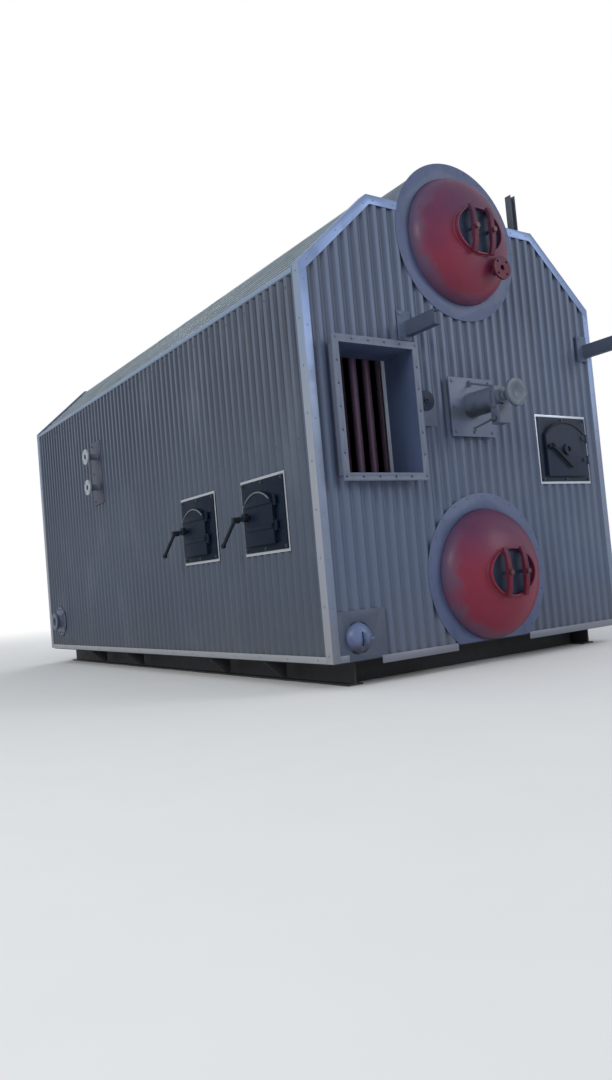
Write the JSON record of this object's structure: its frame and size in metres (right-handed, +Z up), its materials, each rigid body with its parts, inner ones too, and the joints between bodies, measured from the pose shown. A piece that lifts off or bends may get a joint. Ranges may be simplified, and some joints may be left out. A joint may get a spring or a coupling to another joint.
{
  "type": "industrial boiler",
  "caption": "Double-drum water-tube boiler body in ribbed cladding on a skid, with dished drum heads, furnace doors, flue outlet and soot blower.",
  "frame": {"origin": "middle of the skid's underside, on the ground", "axes": "+Z up, -Y towards the outlet end with the manholes, -X towards the side with the two furnace doors"},
  "size_m": [3.0872, 6.442, 3.669],
  "materials": {
    "base_steel": "dull black primer, dusty",
    "cladding_side": "blue-grey painted ribbed sheet",
    "cladding_end": "blue-grey painted ribbed sheet",
    "roof_sheet": "light green-grey painted sheet",
    "trim": "bright folded sheet",
    "bright_trim": "bright folded sheet",
    "drum_steel": "red oxide primer",
    "head_red": "red paint with grey overspray",
    "ring_grey": "flat grey paint",
    "tube_red": "red oxide primer with rust",
    "duct_grey": "blue-grey paint",
    "casting": "black paint on cast iron",
    "lever_black": "black paint",
    "fitting_grey": "blue-grey paint",
    "nozzle_grey": "grey paint, bare flange face",
    "wheel_grey": "grey paint",
    "header_blue": "blue-grey paint",
    "post_dark": "dark grey paint"
  },
  "bodies": {
    "boiler": {"base_skids": "base_steel", "base_cross_beams": "base_steel", "base_gussets": "base_steel", "deck_plate": "base_steel", "side_wall_left": "cladding_side", "side_wall_right": "cladding_side", "end_wall_outlet": "cladding_end", "end_wall_feed": "cladding_end", "roof_slopes": "roof_sheet", "roof_flats": "roof_sheet", "drum_casing": "roof_sheet", "corner_trims": "trim", "rake_trims": "trim", "eave_trims": "trim", "bottom_trims": "trim", "upper_drum_shell": "drum_steel", "lower_drum_shell": "drum_steel", "drum_heads_outlet": "head_red", "drum_heads_feed": "head_red", "drum_cover_rings": "ring_grey", "manhole_covers": "head_red", "manhole_yokes": "head_red", "head_nozzle": "head_red", "drum_saddles": "base_steel", "bank_tubes": "tube_red", "flue_duct": "duct_grey", "flue_flange": "duct_grey", "end_door_frame": "casting", "side_door_frames": "casting", "door_trims": "bright_trim", "soot_blower_plate": "fitting_grey", "soot_blower_body": "fitting_grey", "side_nozzle_pad": "fitting_grey", "side_nozzles": "nozzle_grey", "sight_port": "fitting_grey", "lower_headers": "header_blue", "header_cover": "cladding_end", "low_side_port": "fitting_grey", "platform_brackets": "fitting_grey", "roof_post": "post_dark"},
    "end_door": {"end_door": "casting"},
    "end_door_latch": {"end_door_latch": "lever_black"},
    "side_door_near": {"side_door_near": "casting"},
    "side_door_near_lever": {"side_door_near_lever": "lever_black"},
    "side_door_far": {"side_door_far": "casting"},
    "side_door_far_lever": {"side_door_far_lever": "lever_black"},
    "soot_blower_wheel": {"soot_blower_wheel": "wheel_grey"},
    "soot_blower_lever": {"soot_blower_lever": "lever_black"}
  },
  "joints": [
    {"name": "end_door_hinge", "type": "hinge", "parent": "boiler", "child": "end_door", "pos_m": [1.213, -2.898, 1.561], "axis": [0, 0, 1], "range_deg": [0, 100]},
    {"name": "end_door_latch_turn", "type": "hinge", "parent": "end_door", "child": "end_door_latch", "pos_m": [0.785, -2.91, 1.579], "axis": [0, 1, 0], "range_deg": [0, 50]},
    {"name": "side_door_near_hinge", "type": "hinge", "parent": "boiler", "child": "side_door_near", "pos_m": [-1.47, -2.397, 1.181], "axis": [0, 0, 1], "range_deg": [0, 100]},
    {"name": "side_door_near_lever_turn", "type": "hinge", "parent": "side_door_near", "child": "side_door_near_lever", "pos_m": [-1.482, -2.057, 1.181], "axis": [1, 0, 0], "range_deg": [0, 60]},
    {"name": "side_door_far_hinge", "type": "hinge", "parent": "boiler", "child": "side_door_far", "pos_m": [-1.47, -1.4, 1.181], "axis": [0, 0, 1], "range_deg": [0, 100]},
    {"name": "side_door_far_lever_turn", "type": "hinge", "parent": "side_door_far", "child": "side_door_far_lever", "pos_m": [-1.482, -1.06, 1.181], "axis": [1, 0, 0], "range_deg": [0, 60]},
    {"name": "soot_blower_wheel_spin", "type": "hinge", "parent": "boiler", "child": "soot_blower_wheel", "pos_m": [-0.047, -3.3, 1.86], "axis": [0, 1, 0], "continuous": true},
    {"name": "soot_blower_lever_turn", "type": "hinge", "parent": "boiler", "child": "soot_blower_lever", "pos_m": [-0.117, -3.172, 1.71], "axis": [-1, 0, 0], "range_deg": [0, 40]}
  ]
}
